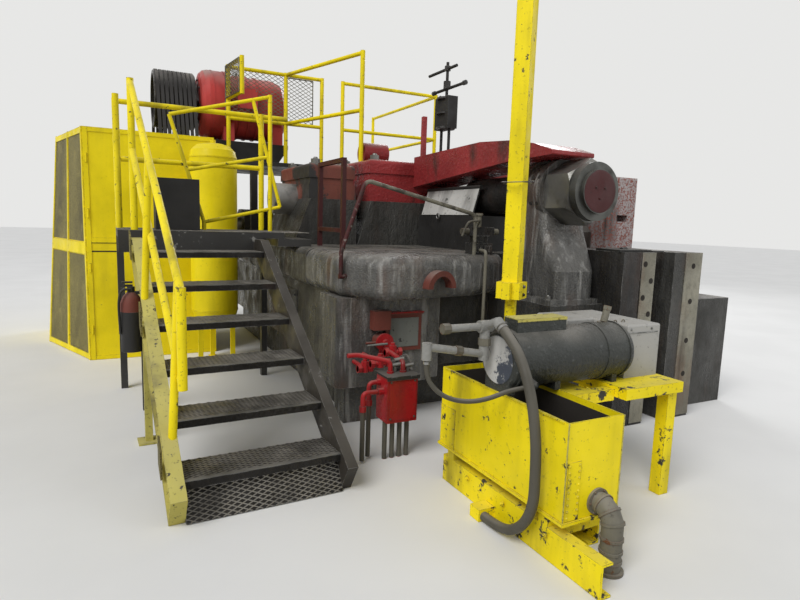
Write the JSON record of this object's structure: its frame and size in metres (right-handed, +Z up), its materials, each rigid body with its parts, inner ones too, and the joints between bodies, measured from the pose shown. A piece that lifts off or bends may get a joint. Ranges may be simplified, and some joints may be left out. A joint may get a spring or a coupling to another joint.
{
  "type": "forging upsetter",
  "caption": "Horizontal forging upsetter with overhead tie beams, a big tie-rod nut, a guarded flywheel and belt drive, an access stair with rails and a yellow spray tank.",
  "frame": {"origin": "point on the floor where the heading centre line passes under the crankshaft axis, on the bed's underside", "axes": "+Z up, +Y from the dies towards the flywheel end, +X to the right of someone looking along +Y"},
  "size_m": [6.09, 8.56, 3.585],
  "materials": {
    "belt_rubber": "matt dusty rubber",
    "black_steel": "dusty black",
    "bright_steel": "machined, oily",
    "cast_grey": "oily, dusty casting",
    "dark_red": "glossy worn red paint",
    "motor_red": "semi-gloss red paint",
    "safety_yellow": "worn safety yellow paint",
    "sheave_iron": "dark iron",
    "tread_steel": "raised mesh, dark with worn bright edges",
    "vessel_grey": "dusty grey"
  },
  "bodies": {
    "machine": {"air_receiver": "safety_yellow", "air_vessel": "vessel_grey", "back_bearing": "cast_grey", "back_shaft": "bright_steel", "bed_frame": "cast_grey", "big_hose": "belt_rubber", "crankshaft": "bright_steel", "drain_elbow": "vessel_grey", "drive_belts": "belt_rubber", "flywheel": "bright_steel", "flywheel_guard": "safety_yellow", "grip_housing": "cast_grey", "heading_slide": "cast_grey", "hoist_post": "safety_yellow", "hose_saddle": "cast_grey", "junction_box": "motor_red", "ladder_frame": "dark_red", "landing_bin": "black_steel", "landing_deck": "tread_steel", "landing_rails": "safety_yellow", "leaning_gate": "safety_yellow", "left_bearing_cap": "dark_red", "left_die_block": "cast_grey", "left_front_upright": "cast_grey", "left_stringer": "safety_yellow", "left_tie_beam": "dark_red", "motor": "motor_red", "motor_base": "black_steel", "motor_deck": "black_steel", "motor_rails": "safety_yellow", "motor_screens": "tread_steel", "oil_valve_stand": "black_steel", "outer_bearing_cap": "dark_red", "pipe_arch": "vessel_grey", "pitman": "bright_steel", "pump_cover": "vessel_grey", "right_bearing_cap": "dark_red", "right_die_block": "cast_grey", "right_front_upright": "cast_grey", "right_stringer": "tread_steel", "right_tie_beam": "dark_red", "slide_cover": "bright_steel", "spray_tank": "safety_yellow", "stair_handrail": "safety_yellow", "stair_treads": "tread_steel", "tank_bracket": "safety_yellow", "tank_skid": "safety_yellow", "thin_hose": "belt_rubber", "throat_cover": "black_steel", "tie_rod": "bright_steel", "tie_rod_cap": "dark_red", "tie_rod_nut": "cast_grey", "valve_panel": "vessel_grey"},
    "sheave": {"motor_sheave": "sheave_iron"}
  },
  "joints": [
    {"name": "sheave_spin", "type": "hinge", "parent": "machine", "child": "sheave", "pos_m": [-3.66, 1.9, 3.14], "axis": [1, 0, 0], "continuous": true}
  ]
}
